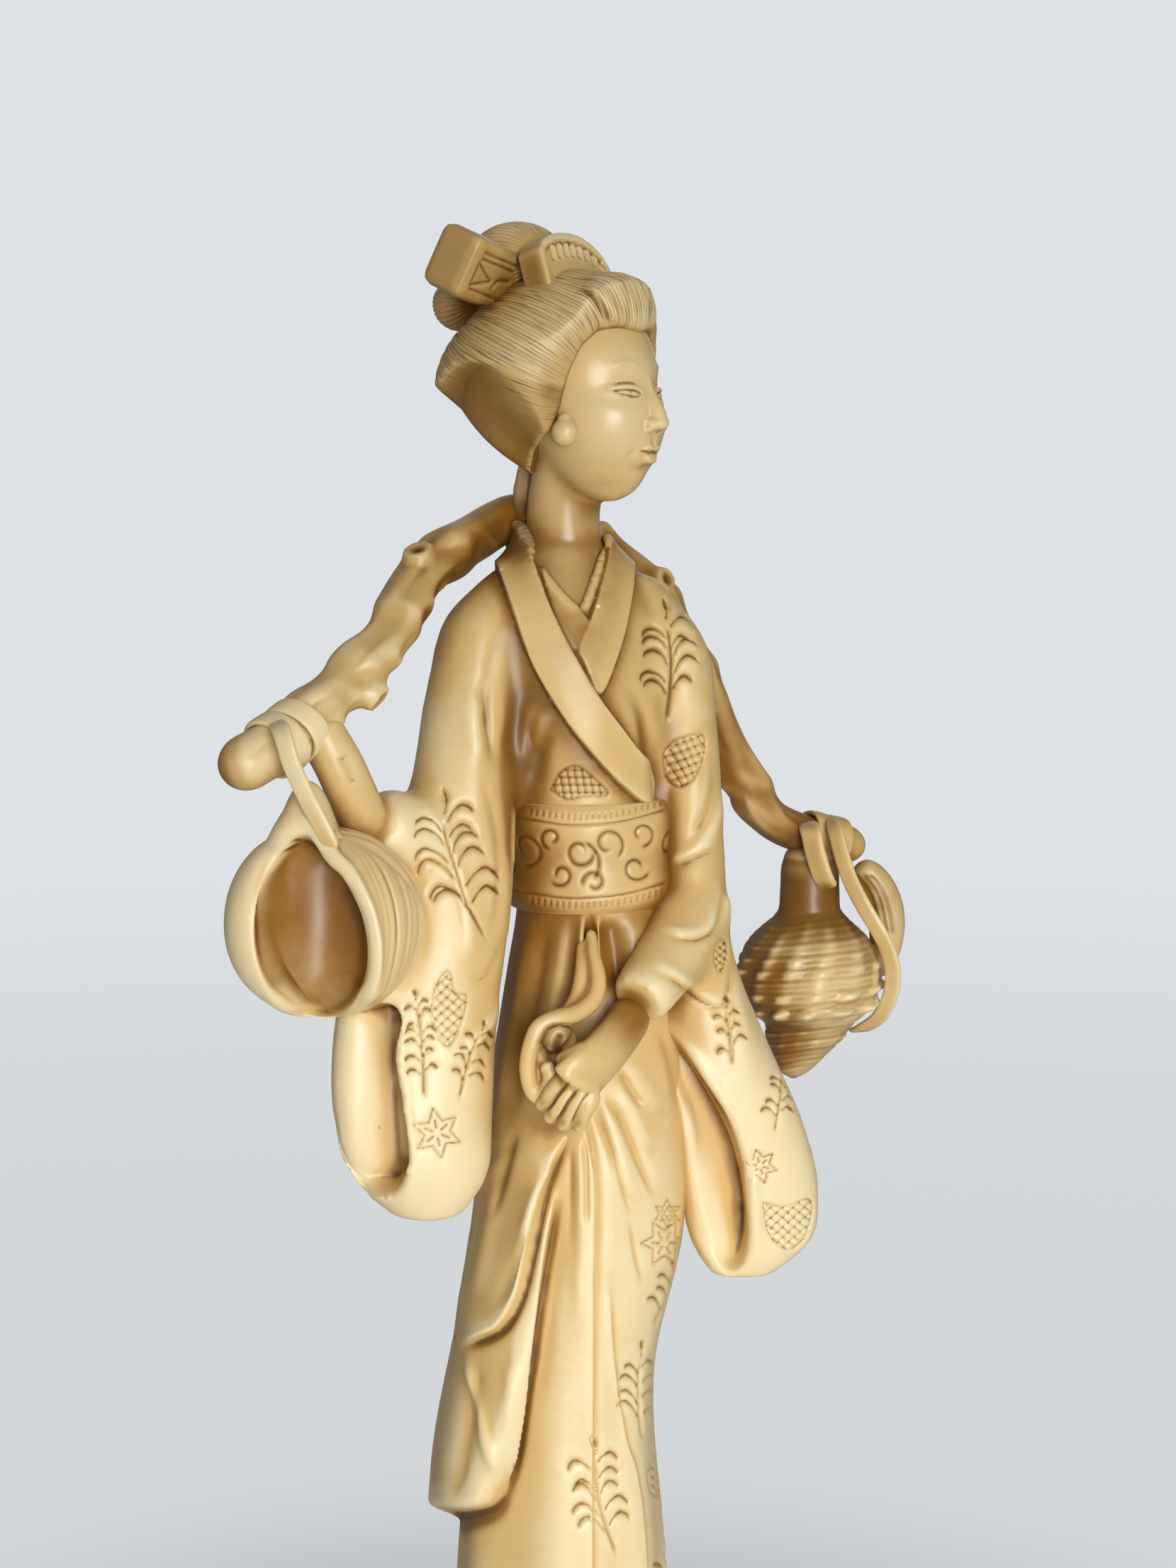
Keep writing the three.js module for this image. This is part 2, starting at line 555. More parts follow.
function combBody() {
  const half = COMB_WIDTH / 2;
  const arch = new THREE.Shape().moveTo(-half, -COMB_HEIGHT);
  arch.lineTo(half, -COMB_HEIGHT);
  arch.lineTo(half, 0);
  arch.quadraticCurveTo(half * 0.75, COMB_HEIGHT, 0, COMB_HEIGHT);
  arch.quadraticCurveTo(-half * 0.75, COMB_HEIGHT, -half, 0);
  const settings = { depth: COMB_THICKNESS, bevelEnabled: false, curveSegments: 4 };
  const blank = new THREE.ExtrudeGeometry(arch, settings);
  const pitch = COMB_WIDTH * 0.8 / COMB_SLOTS;
  const slots = Array.from({ length: COMB_SLOTS }, (_, i) => {
    const across = (i - (COMB_SLOTS - 1) / 2) * pitch;
    const top = COMB_HEIGHT * (0.62 - 0.5 * (across / half) ** 2);
    const bottom = -COMB_HEIGHT * 0.15;
    return new THREE.BoxGeometry(pitch * 0.55, top - bottom, 2 * COMB_SLOT_DEPTH)
      .translate(across, (top + bottom) / 2, COMB_THICKNESS);
  });
  return without(blank, ...slots);
}
const combRaw = combBody()
  .translate(0, 0, -COMB_THICKNESS / 2)
  .rotateX(Math.PI / 2)
  .rotateX(THREE.MathUtils.degToRad(-16))
  .translate(0, HAIR_DEPTH * 0.09, hairRise - COMB_HEIGHT * 0.1)
  .applyMatrix4(headFrame);
const comb = clearOf(combRaw, hairBody, bunBody, hairBar);

const earDrop = (side) =>
  clearOf(
    new THREE.SphereGeometry(EARRING_RADIUS, 10, 8)
      .translate(side * (HEAD_WIDTH * 0.41 + EARRING_RADIUS * 0.5), -HEAD_DEPTH * 0.15, -HEAD_HEIGHT * 0.21)
      .applyMatrix4(headFrame),
    skullBody, neck, hairCap,
  );

// Obi: a band over the waist seam, with its drum knot behind
const obiStation = (z) => ({
  z,
  x: waistX,
  y: 0,
  width: WAIST_WIDTH * 1.04 + 2 * OBI_THICKNESS,
  depth: WAIST_DEPTH * 1.06 + 2 * OBI_THICKNESS,
});
const obiHeights = [waistZ + GLUE_GAP, waistZ + OBI_HEIGHT * 0.35, waistZ + OBI_HEIGHT * 0.7, chestZ];
const obiBody = ovalLoft(obiHeights.map(obiStation), { sides: 20, rows: 2, turn: BODY_TURN * 0.6 });
const obi = clearOf(obiBody, skirtBody, bodiceBody);
const backward = point(-Math.sin(BODY_TURN), Math.cos(BODY_TURN), 0);
const knotAt = point(waistX, 0, waistSeamZ + OBI_HEIGHT * 0.1)
  .addScaledVector(backward, WAIST_DEPTH / 2 + OBI_KNOT_THICKNESS / 2);
const knotStation = ([up, wide, deep]) => ({
  z: knotAt.z + up * OBI_KNOT_HEIGHT,
  x: knotAt.x,
  y: knotAt.y,
  width: OBI_KNOT_WIDTH * wide,
  depth: OBI_KNOT_THICKNESS * deep,
});
const knotShape = [
  [-0.5, 0.72, 0.7], [-0.42, 0.95, 0.95], [0, 1, 1.04], [0.42, 0.95, 1], [0.5, 0.74, 0.72],
];
const obiKnot = clearOf(
  ovalLoft(knotShape.map(knotStation), { sides: 14, rows: 6, turn: BODY_TURN }),
  obiBody, bodiceBody, skirtBody,
);

// Where the two strap turns lie on a limb, side by side near its end
const STRAP_FROM_END = 7;
function strapShares(limb) {
  const curve = new THREE.CatmullRomCurve3(limb.points);
  const pitch = STRAP_WIDTH + 0.4 * YOKE_RADIUS;
  return [STRAP_FROM_END, STRAP_FROM_END + pitch].map((fromEnd) =>
    curve.getUtoTmapping(0, curve.getLength() - fromEnd));
}

// Sleeves: the arm's sleeve and the long drop below it are one piece, with an open mouth
const armPlace = (across, along) => ({ x: across * SHOULDER_WIDTH, y: along * SHOULDER_DEPTH });
// A place on an arm: shares of the shoulder's width and depth, and of the sleeve's drop below the collar
const armPoint = (across, along, share, drop) =>
  point(across * SHOULDER_WIDTH, along * SHOULDER_DEPTH, collarZ - share * drop);
const rightShoulderZ = collarZ - BODICE_LENGTH * 0.11;
const rightDrop = (share, across, along, width, depth) => ({
  ...armPlace(across, along), z: rightShoulderZ - share * RIGHT_SLEEVE_DROP, width, depth,
});
const rightSleeveDrop = ovalLoft(
  [
    rightDrop(1, -0.614, -0.926, RIGHT_SLEEVE_WIDTH * 0.42, RIGHT_SLEEVE_DEPTH * 0.5),
    rightDrop(0.95, -0.648, -0.907, RIGHT_SLEEVE_WIDTH * 0.8, RIGHT_SLEEVE_DEPTH * 0.78),
    rightDrop(0.84, -0.682, -0.852, RIGHT_SLEEVE_WIDTH, RIGHT_SLEEVE_DEPTH),
    rightDrop(0.7, -0.67, -0.778, RIGHT_SLEEVE_WIDTH * 1.02, RIGHT_SLEEVE_DEPTH),
    rightDrop(0.5, -0.568, -0.667, RIGHT_SLEEVE_WIDTH * 0.95, RIGHT_SLEEVE_DEPTH * 0.95),
    rightDrop(0.34, -0.455, -0.481, UPPER_ARM_WIDTH * 1.26, RIGHT_SLEEVE_DEPTH * 0.95),
    rightDrop(0.18, -0.398, -0.296, UPPER_ARM_WIDTH * 1.12, UPPER_ARM_WIDTH * 1.25),
    rightDrop(0.06, -0.318, -0.148, UPPER_ARM_WIDTH * 0.95, UPPER_ARM_WIDTH * 1.1),
    rightDrop(0, -0.227, -0.037, UPPER_ARM_WIDTH * 0.5, UPPER_ARM_WIDTH * 0.6),
  ],
  { sides: 16, rows: 10 },
);
const rightElbow = armPoint(-0.5, -0.556, 0.477, RIGHT_SLEEVE_DROP);
const [, innerTurnShare] = strapShares(rightLimb);
const rightCurve = new THREE.CatmullRomCurve3(rightLimb.points);
const rightGrip = rightCurve.getPoint(innerTurnShare);
const rightCuff = rightElbow.clone().lerp(rightGrip, 0.62)
  .add(point(0, WRIST_RADIUS * 0.43, -WRIST_RADIUS * 1.74));
const rightMidArm = rightElbow.clone().lerp(rightCuff, 0.5).add(point(0, 0, -WRIST_RADIUS * 0.43));
const rightForearm = bar([rightElbow, rightMidArm, rightCuff],
  (share) => FOREARM_SLEEVE_RADIUS * (1.15 - 0.15 * share), { sides: 12, steps: 3 });
// The hand comes up out of the cuff and closes round the yoke from behind.
const gripAlong = rightCurve.getTangent(innerTurnShare);
const gripReach = YOKE_RADIUS * 1.12 + STRAP_THICKNESS + FINGER_RADIUS + 4 * GLUE_GAP;
// Knuckles along the grip: a place is a share of the grip's reach behind the yoke and above it.
const rightKnuckle = (i, back, up) => rightGrip.clone()
  .addScaledVector(gripAlong, (i - 0.5) * 2.05 * FINGER_RADIUS)
  .add(point(0.35 * back, back, up).multiplyScalar(gripReach));
const rightHandBody = joined(
  bar([rightCuff.clone().lerp(rightElbow, 0.3), rightCuff, rightKnuckle(1, 0.75, -0.85)],
    (share) => WRIST_RADIUS * (0.95 + 0.2 * share), { sides: 8, steps: 3 }),
  bar([rightKnuckle(-0.6, 0.95, -0.5), rightKnuckle(3.6, 0.95, -0.5)],
    () => WRIST_RADIUS * 0.8, { sides: 7, steps: 1 }),
  ...[0, 1, 2, 3].map((i) => bar(
    [rightKnuckle(i, 0.98, -0.3), rightKnuckle(i, 0.85, 0.52), rightKnuckle(i, 0.3, 0.95)],
    () => FINGER_RADIUS, { sides: 6, steps: 2 })),
);
// The right sleeve's mouth is a deep trough down its front.
const mouthStation = (share, across, along, size) =>
  rightDrop(share, across, along, RIGHT_MOUTH_WIDTH * size, 2 * RIGHT_MOUTH_DEPTH * size);
const rightMouth = ovalLoft(
  [
    mouthStation(0.972, -0.835, -1.26, 0.4),
    mouthStation(0.93, -0.845, -1.27, 0.85),
    mouthStation(0.86, -0.855, -1.27, 1),
    mouthStation(0.75, -0.868, -1.25, 0.95),
    mouthStation(0.66, -0.875, -1.22, 0.75),
  ],
  { sides: 12, rows: 5 },
);
const rightSleeveBody = joined(rightSleeveDrop, rightForearm);

const leftShoulderZ = collarZ - BODICE_LENGTH * 0.13;
const leftDrop = (share, across, along, width, depth) => ({
  ...armPlace(across, along), z: leftShoulderZ - share * LEFT_SLEEVE_DROP, width, depth,
});
const leftSleeveDrop = ovalLoft(
  [
    leftDrop(1, 0.886, -0.148, LEFT_SLEEVE_WIDTH * 0.45, LEFT_SLEEVE_DEPTH * 0.5),
    leftDrop(0.96, 0.932, -0.074, LEFT_SLEEVE_WIDTH * 0.85, LEFT_SLEEVE_DEPTH * 0.8),
    leftDrop(0.89, 0.932, -0.037, LEFT_SLEEVE_WIDTH, LEFT_SLEEVE_DEPTH),
    leftDrop(0.78, 0.864, -0.074, LEFT_SLEEVE_WIDTH * 0.96, LEFT_SLEEVE_DEPTH * 1.1),
    leftDrop(0.66, 0.739, -0.074, LEFT_SLEEVE_WIDTH * 0.8, LEFT_SLEEVE_DEPTH * 1.2),
    leftDrop(0.54, 0.659, -0.037, LEFT_SLEEVE_WIDTH * 0.55, LEFT_SLEEVE_DEPTH * 1.16),
    leftDrop(0.4, 0.636, 0.074, UPPER_ARM_WIDTH * 0.82, LEFT_SLEEVE_DEPTH),
    leftDrop(0.22, 0.605, 0.148, UPPER_ARM_WIDTH * 0.8, UPPER_ARM_WIDTH * 0.98),
    leftDrop(0.08, 0.509, 0.185, UPPER_ARM_WIDTH * 0.86, UPPER_ARM_WIDTH),
    leftDrop(0, 0.364, 0.222, UPPER_ARM_WIDTH * 0.5, UPPER_ARM_WIDTH * 0.6),
  ],
  { sides: 16, rows: 11 },
);
const leftElbow = armPoint(0.659, 0, 0.507, LEFT_SLEEVE_DROP);
const leftWrist = armPoint(0.352, -0.907, 0.633, LEFT_SLEEVE_DROP);
const leftCuff = leftElbow.clone().lerp(leftWrist, 0.8);
const leftMidArm = leftElbow.clone().lerp(leftCuff, 0.5)
  .add(point(WRIST_RADIUS * 0.2, -WRIST_RADIUS * 0.2, 0));
const leftForearm = bar([leftElbow, leftMidArm, leftCuff],
  (share) => FOREARM_SLEEVE_RADIUS * (1.05 - 0.22 * share), { sides: 12, steps: 3 });
const leftMouth = bar(
  [[0.568, -0.556, 0.693], [0.682, -0.463, 0.8], [0.761, -0.389, 0.907], [0.795, -0.333, 1]]
    .map(([across, along, share]) => armPoint(across, along, share, LEFT_SLEEVE_DROP)),
  (share) => SLEEVE_MOUTH_RADIUS * (0.75 + 0.4 * Math.sin(Math.PI * share)), { sides: 7, steps: 4 });
const leftSleeveBody = joined(leftSleeveDrop, leftForearm);

// Left hand: back of the hand to the viewer, fingers down over the gathered cloth
const leftPalm = armPoint(0.125, -1.074, 0.72, LEFT_SLEEVE_DROP);
const palmAxis = leftPalm.clone().sub(leftWrist).normalize();
const palmSide = point(0.62, 0.1, -0.5).normalize();
const palmFrame = new THREE.Matrix4()
  .makeBasis(palmSide, palmAxis, palmSide.clone().cross(palmAxis).normalize())
  .setPosition(leftPalm);
const leftHandBody = joined(
  bar([leftCuff.clone().lerp(leftElbow, 0.35), leftCuff, leftWrist, leftPalm],
    (share) => WRIST_RADIUS * (1.1 - 0.25 * share), { sides: 9, steps: 3 }),
  new THREE.SphereGeometry(0.5, 10, 7)
    .scale(PALM_WIDTH, PALM_LENGTH, PALM_THICKNESS)
    .applyMatrix4(palmFrame),
  ...[0, 1, 2, 3].map((i) => {
    const across = (i - 1.5) * PALM_WIDTH * 0.23;
    const reach = PALM_LENGTH * 0.34 + FINGER_LENGTH * (1 - 0.08 * Math.abs(i - 1.3) ** 2);
    return bar(
      [point(across, PALM_LENGTH * 0.25, 0.6), point(across * 1.04, PALM_LENGTH * 0.34 + reach * 0.3, 1),
        point(across * 0.98, reach, -1.2)],
      (share) => FINGER_RADIUS * (1.05 - 0.22 * share), { sides: 6, steps: 2 },
    ).applyMatrix4(palmFrame);
  }),
  bar(
    [[-0.3, -0.1, -1], [-0.62, 0.15, -1.5], [-0.6, 0.48, -1]]
      .map(([across, along, out]) => point(across * PALM_WIDTH, along * PALM_LENGTH, out)),
    (share) => FINGER_RADIUS * (1.2 - 0.2 * share), { sides: 6, steps: 2 },
  ).applyMatrix4(palmFrame),
);

// Skirt layers held up by the left hand
const gatherAt = armPoint(-0.05, -0.944, 0.68, LEFT_SLEEVE_DROP);
const gatherRing = (radius, low, high) =>
  ovalLoft([low, (low + high) / 2, high].map((z, i) => ({
    z: gatherAt.z + z,
    x: gatherAt.x + i * 0.8,
    y: gatherAt.y,
    width: 2 * radius * (0.85 + 0.15 * i),
    depth: 1.8 * radius,
  })), { sides: 14, rows: 2 });
const gatherBody = without(gatherRing(GATHER_RADIUS, -GATHER_HEIGHT / 2, GATHER_HEIGHT / 2),
  gatherRing(GATHER_RADIUS - GATHER_WALL, 0, GATHER_HEIGHT / 2 + 1));

const onSkirt = (outline) =>
  outline.map(([across, down]) => [across * HIP_WIDTH, collarZ - down * (collarZ - hemZ)]);
const drapeOutline = onSkirt([
  [0.098, 0.372], [-0.044, 0.369], [-0.247, 0.432], [-0.449, 0.524],
  [-0.4, 0.53], [-0.231, 0.516], [-0.102, 0.489], [-0.011, 0.448],
]);
const drapeUnderOutline = onSkirt([
  [0.102, 0.385], [-0.444, 0.45], [-0.85, 0.5], [-0.85, 0.648],
  [-0.51, 0.644], [-0.269, 0.625], [-0.082, 0.492],
]);
const drapeBackOutline = onSkirt([[-0.36, 0.47], [-0.85, 0.43], [-0.85, 0.648], [-0.34, 0.652]]);
const frontPanelOutline = onSkirt([
  [0.151, 0.379], [0.162, 0.514], [0.169, 0.675], [0.2, 0.915], [0.211, 0.987],
  [-0.467, 0.987], [-0.444, 0.915], [-0.356, 0.675], [-0.222, 0.568], [0, 0.385],
]);

const drapeRaw = frontLayer(drapeOutline, skirtBody, DRAPE_THICKNESS);
const leftHand = clearOf(leftHandBody, skirtBody);
const gather = clearOf(gatherBody, skirtBody, leftHandBody);
const drape = clearOf(drapeRaw, rightSleeveBody, leftHandBody, gatherBody);
// The under drape hangs off the skirt towards its lower edge and wraps round the figure's right side.
const drapeStation = (share, across, width, depth, flare) => {
  const thickness = DRAPE_UNDER_THICKNESS + flare * DRAPE_FLARE;
  return skirtStation(share, across, 0, width + 2 * thickness, depth + 2 * thickness);
};
const drapeHang = ovalLoft(
  [
    drapeStation(0.4, 0.004, CALF_WIDTH * 0.98, CALF_DEPTH, 1.2),
    drapeStation(0.5, 0.008, KNEE_WIDTH * 1.05, KNEE_DEPTH, 1),
    drapeStation(0.58, 0.013, KNEE_WIDTH, KNEE_DEPTH, 0.7),
    drapeStation(0.7, 0.089, HIP_WIDTH, HIP_DEPTH, 0.1),
    drapeStation(0.84, 0.133, HIP_WIDTH * 0.94, HIP_DEPTH * 0.96, 0),
  ],
  { sides: 28, rows: 6 },
);
const drapeRegion = joined(
  frontPrism(drapeUnderOutline),
  frontPrism(drapeBackOutline).translate(0, FRONT_REACH - GLUE_GAP, 0),
);
const drapeUnder = clearOf(geometryOf(solidOf(drapeRegion).intersect(solidOf(drapeHang))),
  skirtBody, frontPrism(drapeOutline), rightSleeveBody, leftHandBody, gatherBody);
const frontPanel = clearOf(frontLayer(frontPanelOutline, skirtBody, FRONT_PANEL_THICKNESS),
  frontPrism(drapeOutline), frontPrism(drapeUnderOutline), leftHandBody, gatherBody);

// Straps and shells
const strapRing = (limb, share) => {
  const curve = new THREE.CatmullRomCurve3(limb.points);
  const centre = curve.getPoint(share);
  const inner = limb.radius(share) + 2 * clearance;
  const outer = inner + STRAP_THICKNESS;
  const half = STRAP_WIDTH / 2;
  const round = STRAP_THICKNESS * 0.35;
  const profile = [[inner, -half], [outer - round, -half], [outer, -half + round],
    [outer, half - round], [outer - round, half], [inner, half], [inner, -half]];
  return new THREE.LatheGeometry(profile.map(([r, z]) => new THREE.Vector2(r, z)), 14)
    .applyQuaternion(new THREE.Quaternion().setFromUnitVectors(point(0, 1, 0), curve.getTangent(share)))
    .translate(centre.x, centre.y, centre.z);
};
// A flat band along a curve, its width lying along across. Its section is listed in half widths.
const BAND_SECTION = [
  [-1, -0.6], [-0.8, -1], [0.8, -1], [1, -0.6], [1, 0.6], [0.8, 1], [-0.8, 1], [-1, 0.6],
];
function band(points, across, width, thickness, steps) {
  const curve = new THREE.CatmullRomCurve3(points);
  const rings = Array.from({ length: steps + 1 }, (_, step) => {
    const along = curve.getTangent(step / steps);
    const side = across.clone().addScaledVector(along, -across.dot(along)).normalize();
    const out = along.clone().cross(side).normalize();
    const centre = curve.getPoint(step / steps);
    return BAND_SECTION.map(([w, t]) =>
      centre.clone().addScaledVector(side, (w * width) / 2).addScaledVector(out, (t * thickness) / 2));
  });
  return loft(rings);
}

const rightEnd = new THREE.CatmullRomCurve3(rightLimb.points).getPoint(0.9);
const rightShellDrop = YOKE_RADIUS + STRAP_DROP + RIGHT_SHELL_HEIGHT * 0.4;
const rightShellAt = rightEnd.clone()
  .add(point(RIGHT_SHELL_WIDTH * 0.25, RIGHT_SHELL_DEPTH * 0.06, -rightShellDrop));
const mouthFrame = new THREE.Matrix4()
  .makeRotationY(THREE.MathUtils.degToRad(-8))
  .setPosition(rightShellAt);
const rightShellWhorl = starBody(
  [
    { x: 0, y: 0, z: 0,
      rx: RIGHT_SHELL_WIDTH / 2, ry: RIGHT_SHELL_DEPTH / 2, rz: RIGHT_SHELL_HEIGHT * 0.45 },
    { x: 0, y: -RIGHT_SHELL_DEPTH * 0.09, z: RIGHT_SHELL_HEIGHT * 0.32,
      rx: RIGHT_SHELL_WIDTH * 0.17, ry: RIGHT_SHELL_DEPTH * 0.2, rz: RIGHT_SHELL_HEIGHT * 0.24 },
    { x: RIGHT_SHELL_WIDTH * 0.17, y: RIGHT_SHELL_DEPTH * 0.12, z: 0,
      rx: RIGHT_SHELL_WIDTH * 0.36, ry: RIGHT_SHELL_DEPTH * 0.5, rz: RIGHT_SHELL_HEIGHT * 0.39 },
  ],
  { wide: 18, high: 12 },
).applyMatrix4(mouthFrame);
const mouthX = -RIGHT_SHELL_WIDTH * 0.07;
const rightShellMouth = starBody(
  [
    { x: 0, y: 0, z: -RIGHT_SHELL_HEIGHT * 0.06,
      rx: RIGHT_SHELL_WIDTH * 0.31, ry: RIGHT_SHELL_MOUTH_DEPTH, rz: RIGHT_SHELL_HEIGHT * 0.31 },
    { x: 0, y: 0, z: RIGHT_SHELL_HEIGHT * 0.14,
      rx: RIGHT_SHELL_WIDTH * 0.17, ry: RIGHT_SHELL_MOUTH_DEPTH * 0.8, rz: RIGHT_SHELL_HEIGHT * 0.22 },
  ],
  { wide: 13, high: 9 },
).translate(mouthX, -RIGHT_SHELL_DEPTH * 0.5, 0).applyMatrix4(mouthFrame);
const rightShellLip = bar(
  Array.from({ length: 13 }, (_, i) => {
    const angle = THREE.MathUtils.degToRad(84 + i * 26.5);
    return point(
      mouthX + Math.cos(angle) * RIGHT_SHELL_WIDTH * 0.36,
      -RIGHT_SHELL_DEPTH * 0.33,
      -RIGHT_SHELL_HEIGHT * 0.02 + Math.sin(angle) * RIGHT_SHELL_HEIGHT * 0.38);
  }),
  (share) => RIGHT_SHELL_LIP * (1.25 - 0.55 * share), { sides: 6, steps: 14 }).applyMatrix4(mouthFrame);
const rightShellBody = without(joined(rightShellWhorl, rightShellLip), rightShellMouth);

// The left shell is a turban shell with its tip down: a lathe form whose whorls wind down to the tip.
function turbanShell() {
  const wide = 18;
  const rows = 16;
  const rings = Array.from({ length: rows + 1 }, (_, row) => {
    const share = row / rows;
    const girth = Math.sin(Math.PI * Math.min(1, 0.02 + share ** 0.95 * 0.9)) ** 0.82;
    return Array.from({ length: wide }, (_, i) => {
      const angle = (i / wide) * 2 * Math.PI;
      const whorl = LEFT_SHELL_TURNS * Math.log2(1 + share * 1.6) - angle / (2 * Math.PI);
      const swell = 1 - 0.1 * (1 - Math.abs(Math.sin(Math.PI * whorl))) ** 2;
      const radius = (LEFT_SHELL_WIDTH / 2) * Math.max(0.03, girth) * swell;
      return point(Math.cos(angle) * radius, Math.sin(angle) * radius, (share - 0.5) * LEFT_SHELL_LENGTH);
    });
  });
  return loft(rings);
}
const leftEnd = new THREE.CatmullRomCurve3(leftLimb.points).getPoint(0.9);
const leftShellDrop = YOKE_RADIUS + STRAP_DROP * 0.9 + LEFT_SHELL_LENGTH * 0.4;
const leftShellAt = leftEnd.clone()
  .add(point(-LEFT_SHELL_WIDTH * 0.07, -LEFT_SHELL_WIDTH * 0.03, -leftShellDrop));
const leftShellBody = turbanShell()
  .rotateY(THREE.MathUtils.degToRad(16))
  .translate(leftShellAt.x, leftShellAt.y, leftShellAt.z);

const rightRings = strapShares(rightLimb).map((share) => strapRing(rightLimb, share));
const leftRings = strapShares(leftLimb).map((share) => strapRing(leftLimb, share));
const rightShell = clearOf(rightShellBody, rightSleeveBody, rightHandBody);
const leftShell = clearOf(leftShellBody, leftSleeveBody);
const hang = YOKE_RADIUS + STRAP_THICKNESS * 2.1;
// Places on the strap: across and along in yoke radii from the limb's end, and how far down
const rightStrapPlaces = [
  [0.95, -1.15, hang * 0.2],
  [1.35, -0.95, hang],
  [1.75, -0.5, hang + STRAP_DROP],
  [2.5, 0.4, hang + STRAP_DROP * 1.9],
];
const rightStrapDrop = clearOf(
  band(
    rightStrapPlaces.map(([across, along, down]) =>
      rightEnd.clone().add(point(across * YOKE_RADIUS, along * YOKE_RADIUS, -down))),
    point(0.8, -0.6, 0), STRAP_WIDTH, STRAP_THICKNESS, 8),
  rightLimb.geometry, ...rightRings, rightShellBody, rightHandBody, rightSleeveBody);
const shellSide = LEFT_SHELL_WIDTH / 2 + STRAP_THICKNESS;
const leftStrapPlaces = [[0.8, -0.6, 0.47], [1.03, -0.16, 0], [0.86, 0, -0.57], [0.5, 0.16, -0.88]];
const leftStrapLoop = clearOf(
  band(
    [
      leftEnd.clone().add(point(0, -hang, YOKE_RADIUS * 0.2)),
      leftEnd.clone().add(point(YOKE_RADIUS * 0.8, -hang - STRAP_THICKNESS, -YOKE_RADIUS * 1.4)),
      ...leftStrapPlaces.map(([across, along, up]) =>
        leftShellAt.clone().add(point(across, along, up).multiplyScalar(shellSide))),
    ],
    point(-0.3, 0.9, 0), STRAP_WIDTH, STRAP_THICKNESS, 16),
  leftLimb.geometry, ...leftRings, leftShellBody);

// Sleeves take their sockets from the hands, the yoke and the body.
const rightSleeve = clearOf(without(rightSleeveBody, rightMouth),
  bodiceBody, skirtBody, obiBody, rightLimb.geometry, rightHandBody);
const leftSleeve = clearOf(without(leftSleeveBody, leftMouth),
  bodiceBody, skirtBody, obiBody, leftLimb.geometry, leftHandBody);
const rightHand = clearOf(rightHandBody, rightLimb.geometry, ...rightRings);

// Collars
const onBodice = (outline) =>
  outline.map(([across, down]) => [across * SHOULDER_WIDTH, collarZ - down * BODICE_LENGTH]);
const sleeves = [rightSleeveBody, leftSleeveBody];
const outerOutline = onBodice([
  [-0.268, 0], [-0.166, -0.019], [-0.082, 0.204], [0.1, 0.454], [0.282, 0.648], [0.436, 0.841],
  [0.423, 0.963], [0.3, 0.926], [0.082, 0.722], [-0.084, 0.5], [-0.193, 0.289],
]);
const underOutline = onBodice([
  [0.191, -0.009], [0.323, 0.059], [0.332, 0.172], [0.245, 0.467], [0.191, 0.583],
  [0.068, 0.444], [0.161, 0.289],
]);
const innerOutline = onBodice([[-0.152, 0.022], [-0.084, 0.081], [0.143, 0.289], [0.073, 0.426],
  [-0.091, 0.185]]);
const innermostOutline = onBodice([[0.205, 0.022], [0.209, 0.17], [0.132, 0.27], [0.068, 0.215]]);
const neckRoom = [neck, rightLimb.geometry, leftLimb.geometry];
const outerCollar = clearOf(frontLayer(outerOutline, bodiceBody, OUTER_COLLAR_THICKNESS),
  ...sleeves, ...neckRoom, obiBody);
const underCollar = clearOf(frontLayer(underOutline, bodiceBody, UNDER_COLLAR_THICKNESS),
  frontPrism(outerOutline), ...sleeves, ...neckRoom);
const innerCollar = clearOf(frontLayer(innerOutline, bodiceBody, INNER_COLLAR_THICKNESS),
  frontPrism(outerOutline), frontPrism(underOutline), ...neckRoom);
const innermostCollar = clearOf(frontLayer(innermostOutline, bodiceBody, INNERMOST_COLLAR_THICKNESS),
  frontPrism(innerOutline), frontPrism(underOutline), ...neckRoom);

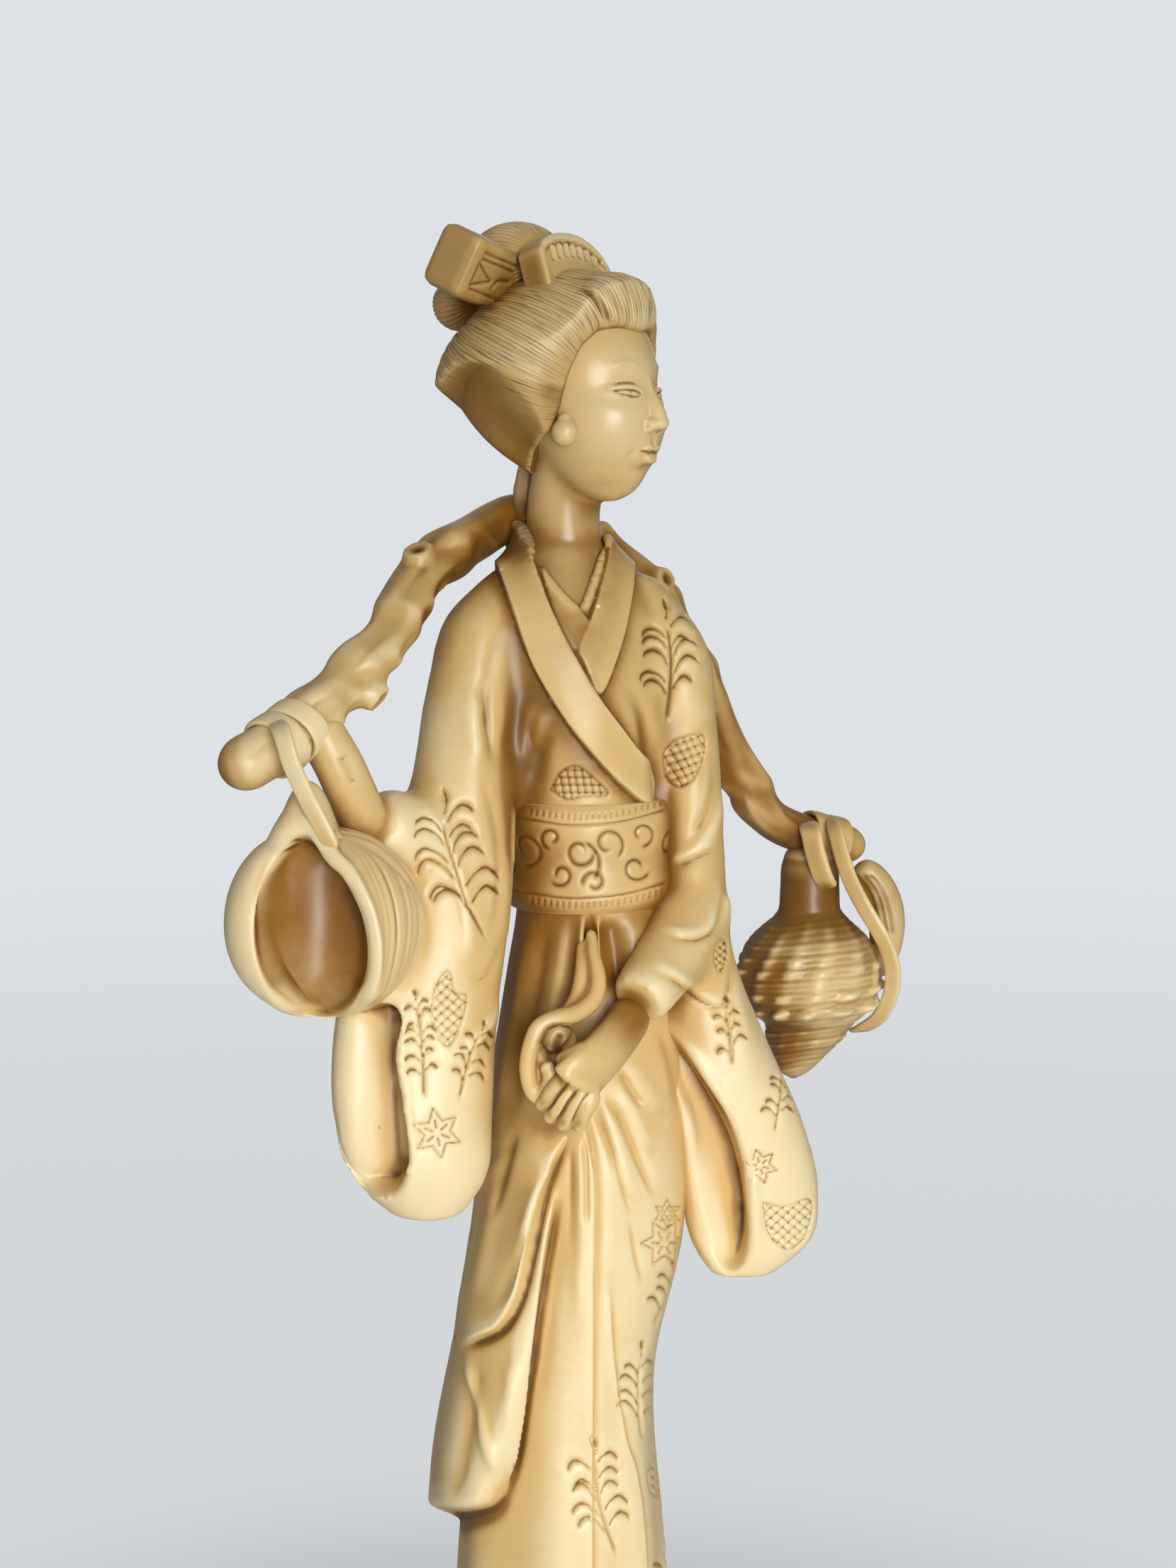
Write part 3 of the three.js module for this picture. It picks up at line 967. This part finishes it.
const feltMaterial = { color: 0x3d4a3a, roughness: 0.95, metalness: 0 };
const resinMaterial = { color: 0xd9bd86, roughness: 0.42, metalness: 0 };
const hairMaterial = { color: 0xc9ad7c, roughness: 0.5, metalness: 0 };
const barkMaterial = { color: 0xc4a471, roughness: 0.48, metalness: 0 };
const steelMaterial = { color: 0x9a9c9e, roughness: 0.35, metalness: 1 };

const figurine = new THREE.Group();
const add = (name, geometry, material) => {
  const mesh = new THREE.Mesh(geometry, new THREE.MeshStandardMaterial(material));
  mesh.name = name;
  figurine.add(mesh);
};

add("felt_pad", felt, feltMaterial);
add("plinth", plinth, resinMaterial);
add("base_screw", screw, steelMaterial);
add("skirt", skirt, resinMaterial);
add("front_panel", frontPanel, resinMaterial);
add("drape_upper", drape, resinMaterial);
add("drape_lower", drapeUnder, resinMaterial);
add("gathered_fold", gather, resinMaterial);
add("bodice", bodice, resinMaterial);
add("obi_sash", obi, resinMaterial);
add("obi_knot", obiKnot, resinMaterial);
add("outer_collar", outerCollar, resinMaterial);
add("under_collar", underCollar, resinMaterial);
add("inner_collar", innerCollar, resinMaterial);
add("innermost_collar", innermostCollar, resinMaterial);
add("head", head, resinMaterial);
add("neck_dowel", neckDowel, steelMaterial);
add("hair_cap", hairCap, hairMaterial);
add("hair_bun", bun, hairMaterial);
add("hair_comb", comb, resinMaterial);
add("hair_bar", barBody, resinMaterial);
add("right_earring", earDrop(-1), resinMaterial);
add("left_earring", earDrop(1), resinMaterial);
add("right_sleeve", rightSleeve, resinMaterial);
add("right_hand", rightHand, resinMaterial);
add("left_sleeve", leftSleeve, resinMaterial);
add("left_hand", leftHand, resinMaterial);
add("yoke_right_limb", rightLimbBody, barkMaterial);
add("yoke_left_limb", leftLimbBody, barkMaterial);
add("yoke_pin", yokePin, steelMaterial);
rightRings.forEach((ring, i) => add(`right_strap_turn_${i + 1}`, ring, resinMaterial));
leftRings.forEach((ring, i) => add(`left_strap_turn_${i + 1}`, ring, resinMaterial));
add("right_strap_drop", rightStrapDrop, resinMaterial);
add("left_strap_loop", leftStrapLoop, resinMaterial);
add("right_shell", rightShell, barkMaterial);
add("left_shell", leftShell, barkMaterial);

export default figurine;
